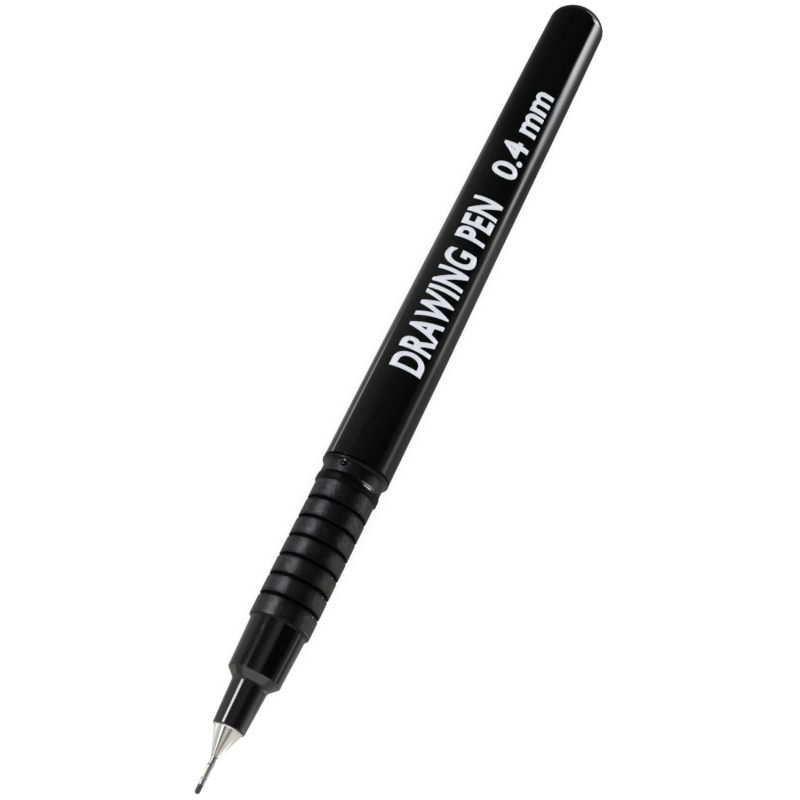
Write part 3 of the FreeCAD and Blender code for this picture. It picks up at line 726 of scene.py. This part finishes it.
# Direction's share along the pen where a table starts and where it has taken over
HANDOVERS = (
    (-0.90, -0.75, CONE), (-0.36, -0.16, NARROW_NOSE), (0.150, 0.166, WIDE_NOSE),
    (0.224, 0.244, GRIP), (0.275, 0.315, REAR_GRIP), (0.325, 0.340, BARREL_MOUTH),
    (0.385, 0.430, BARREL_MIDDLE), (0.462, 0.486, BARREL_BACK), (0.494, 0.516, BARREL_REAR),
    (0.526, 0.548, BARREL_END), (0.62, 0.80, TAIL))
STUDIO_FULL = 10.0              # strength stored as 1 in the studio's ramps


def soft_boxes(net, along, turn):
    """Strength of two soft boxes, added to the tables."""
    # +Y side: bright line on the narrow nose, sheen on the grip
    box = net.window(turn, rise=(share_of(-66), share_of(-61)),
                     fall=(share_of(-52), share_of(-46)))
    box = net.times(box, net.span(along, off=-0.24, on=-0.18),
                    net.span(along, off=0.158, on=0.142))
    # -Y side: small lamp that only the flange's rounded rear catches
    lamp = net.window(turn, rise=(share_of(54), share_of(62)),
                      fall=(share_of(104), share_of(112)))
    lamp = net.times(lamp, net.span(along, off=0.66, on=0.70),
                     net.span(along, off=0.86, on=0.82))
    box_strength = net.span(along, off=0.06, on=0.14, low=14.0, high=20.0)
    return net.plus(net.times(box, box_strength), net.times(lamp, 6.0))


def studio():
    """White room for the floor, and a studio of soft boxes that only reflections see."""
    world = bpy.data.worlds.new("studio")
    scene.world = world
    net, show = shader_tree(world, "ShaderNodeOutputWorld")
    coord = net.node("ShaderNodeTexCoord", {})
    axes = net.split(coord.outputs["Generated"])
    along = axes[0]
    turn = net.turn_share(axes)

    light = net.turn_ramp(turn, FRONT, STUDIO_FULL)
    for start, full, rows in HANDOVERS:
        light = net.mix(net.span(along, off=start, on=full), light,
                        net.turn_ramp(turn, rows, STUDIO_FULL))
    light = net.node("ShaderNodeVectorMath", {0: light, "Scale": STUDIO_FULL},
                     operation="SCALE")
    boxes = soft_boxes(net, along, turn)
    boxes = net.node("ShaderNodeCombineXYZ", {0: boxes, 1: boxes, 2: boxes})
    total = net.node("ShaderNodeVectorMath", {0: light.outputs[0], 1: boxes.outputs[0]},
                     operation="ADD")

    gloss = net.node("ShaderNodeBackground", {"Color": total.outputs[0], "Strength": 1.0})
    room = net.node("ShaderNodeBackground", {"Color": WHITE, "Strength": 1.0})
    path = net.node("ShaderNodeLightPath", {})
    show(net.node("ShaderNodeMixShader", {0: path.outputs["Is Glossy Ray"],
                                          1: room.outputs[0], 2: gloss.outputs[0]}))
    # directions come from the surface, not from a light map, so that reflections and the
    # room stay apart
    world.cycles.sampling_method = "NONE"


studio()

# Tube card
CARD_X = (3.6, 9.6)
CARD_RADIUS = 0.020             # metres
CARD_STEPS = 96
CARD_TINT = (1.0, 0.985, 0.93)
CARD_FULL = 2                   # strength stored as 1 in the card's ramp
CARD_LIGHT = [                  # turn, strength
    (-180, 1.0), (-130, 1.15), (-105, 1.4), (-85, 1.65), (-56, 1.6), (-38, 0.8),
    (-22, 0.30), (-6, 0.10), (30, 0.08), (50, 0.18), (68, 0.55), (98, 0.85),
    (130, 0.95), (180, 1.0)]


def card_material():
    """Glowing cloth, uneven by its weave and dimmer towards both ends."""
    cloth = bpy.data.materials.new("card_cloth")
    net, show = shader_tree(cloth)
    position = net.node("ShaderNodeNewGeometry", {}).outputs["Position"]
    axes = net.split(position)
    colour = net.turn_ramp(net.turn_share(axes), CARD_LIGHT, CARD_FULL, CARD_TINT)
    weave = net.noise(position, scale=400.0, detail=2.0)
    # positions here are in metres
    level = net.times(net.mix_value(weave, 1.9, 2.1),
                      net.span(axes[0], off=0.0071, on=0.0077, low=1.0, high=0.66),
                      net.span(axes[0], off=0.0054, on=0.0050, low=1.0, high=0.72))
    show(net.node("ShaderNodeEmission", {"Color": colour, "Strength": level}))
    return cloth


def tube_card():
    """Reflector all round the point. Only reflections see it, and it stands where the
    thin tube mirrors it and the nose and grip don't."""
    points, faces = [], []
    for k in range(CARD_STEPS):
        angle = 2.0 * math.pi * k / CARD_STEPS
        for x in CARD_X:
            points.append((x * MM, -CARD_RADIUS * math.sin(angle), CARD_RADIUS * math.cos(angle)))
        following = (k + 1) % CARD_STEPS
        faces.append((2 * k, 2 * k + 1, 2 * following + 1, 2 * following))
    cloth = card_material()
    mesh = bpy.data.meshes.new("tube_card")
    mesh.from_pydata(points, [], faces)
    mesh.materials.append(cloth)
    card = add_object("tube_card", mesh)
    for flag in ("visible_camera", "visible_diffuse", "visible_transmission",
                 "visible_volume_scatter", "visible_shadow"):
        setattr(card, flag, False)


tube_card()

# ----------------------------------------------------------------------------
# Camera: looks down at the pen, tip nearer than the rear end
# ----------------------------------------------------------------------------
TILT = math.radians(22.0)       # view direction from straight down, towards +X
LEAN = math.radians(26.30)      # roll about the view direction
AIM = Vector((63.87, -1.09, 0.0)) * MM
DISTANCE = 0.291                # metres


def make_camera():
    forward = Vector((math.sin(TILT), 0.0, -math.cos(TILT)))
    along = Vector((math.cos(TILT), 0.0, math.sin(TILT)))
    side = Vector((0.0, -1.0, 0.0))
    up = along * math.cos(LEAN) - side * math.sin(LEAN)
    right = along * math.sin(LEAN) + side * math.cos(LEAN)
    place = AIM - forward * DISTANCE
    data = bpy.data.cameras.new("camera")
    data.lens = 90.0
    data.sensor_width = 36.0
    data.clip_start = 0.005
    data.clip_end = 50.0
    camera = add_object("camera", data)
    camera.matrix_world = Matrix((
        (right.x, up.x, -forward.x, place.x),
        (right.y, up.y, -forward.y, place.y),
        (right.z, up.z, -forward.z, place.z),
        (0.0, 0.0, 0.0, 1.0)))
    scene.camera = camera


make_camera()

scene.view_settings.view_transform = "Standard"
scene.view_settings.look = "None"
scene.view_settings.exposure = 0.0
scene.view_settings.gamma = 1.0
